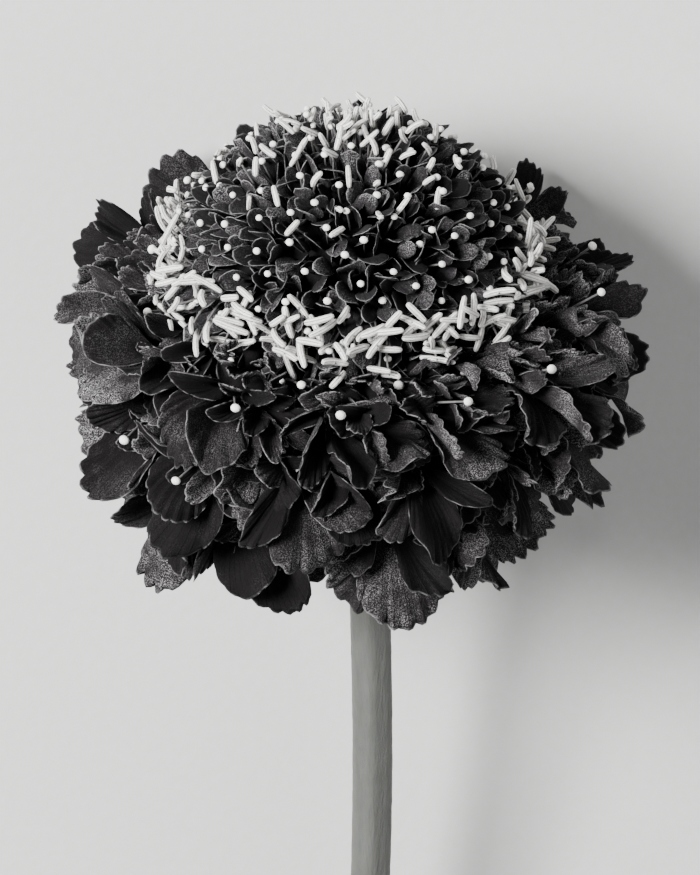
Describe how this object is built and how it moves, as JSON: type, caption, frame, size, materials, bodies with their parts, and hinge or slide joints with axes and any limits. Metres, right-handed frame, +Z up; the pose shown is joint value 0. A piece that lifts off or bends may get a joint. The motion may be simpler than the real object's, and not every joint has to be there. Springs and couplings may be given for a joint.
{
  "type": "scabiosa flower",
  "caption": "Cut scabiosa lying on its side: domed head of small cupped florets ringed by anthers, over drooping layers of large ruffled ray florets, on a bare stem.",
  "frame": {"origin": "On the table, below the middle of the bounding box of the lying flower.", "axes": "+Z up from the table. The stem runs along +Y from the head, which faces -Y. +X is to the left of the head as it is seen from above with the dome away from the viewer."},
  "size_m": [0.0543, 0.1394, 0.0505],
  "materials": {
    "stem_green": "grey-green plant stem, finely ribbed, with fine pale hairs",
    "ray_petal": "near-black velvety petal with pale thin margins",
    "disc_petal": "near-black cupped florets, their stigmas and crown anthers off-white",
    "anther": "off-white matt pollen sacs"
  },
  "bodies": {
    "root": {"stem": "stem_green", "ray_florets": "ray_petal", "disc_florets": "disc_petal", "anther_ring": "anther"}
  },
  "joints": []
}
